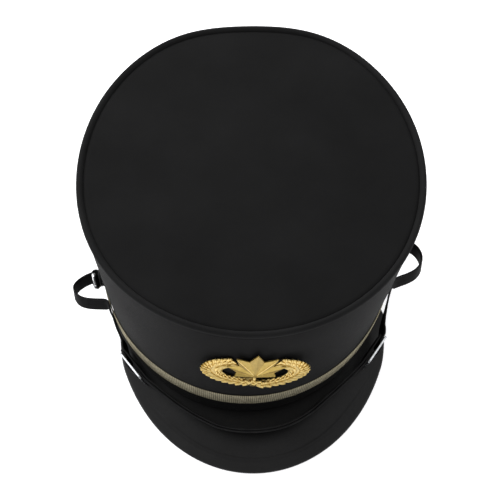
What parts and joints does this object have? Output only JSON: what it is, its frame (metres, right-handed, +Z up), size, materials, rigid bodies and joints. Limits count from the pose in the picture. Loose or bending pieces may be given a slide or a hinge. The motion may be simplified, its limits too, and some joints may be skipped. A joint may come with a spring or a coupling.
{
  "type": "train conductor hat",
  "caption": "Flared oval cloth cap with a flat top, a stiff peak, a metallic braid, a leaf-in-wreath badge and a slack chin strap on metal slides and side buttons, worn on the head.",
  "frame": {"origin": "middle of the bounding box in plan, on the plane that the hat rests on", "axes": "+Z up through the flat top, the peak and the badge face -Y, +X to the right of someone who faces the badge"},
  "size_m": [0.2224, 0.2606, 0.1229],
  "materials": {
    "crown_cloth": "matte black cloth",
    "braid": "ribbed greyish gold metallic braid",
    "peak_leather": "semi-matte black leathercloth",
    "strap_leather": "semi-matte black leathercloth",
    "silver_metal": "polished silver-coloured metal",
    "button_metal": "polished dark metal with a bright rim",
    "gold_metal": "polished gold-coloured metal"
  },
  "bodies": {
    "root": {"crown_side": "crown_cloth", "crown_top": "crown_cloth", "top_welt": "crown_cloth", "braid_band": "braid", "peak": "peak_leather", "strap_left": "strap_leather", "strap_right": "strap_leather", "slide_left": "silver_metal", "slide_right": "silver_metal", "button_left": "button_metal", "button_right": "button_metal", "badge": "gold_metal"}
  },
  "joints": []
}
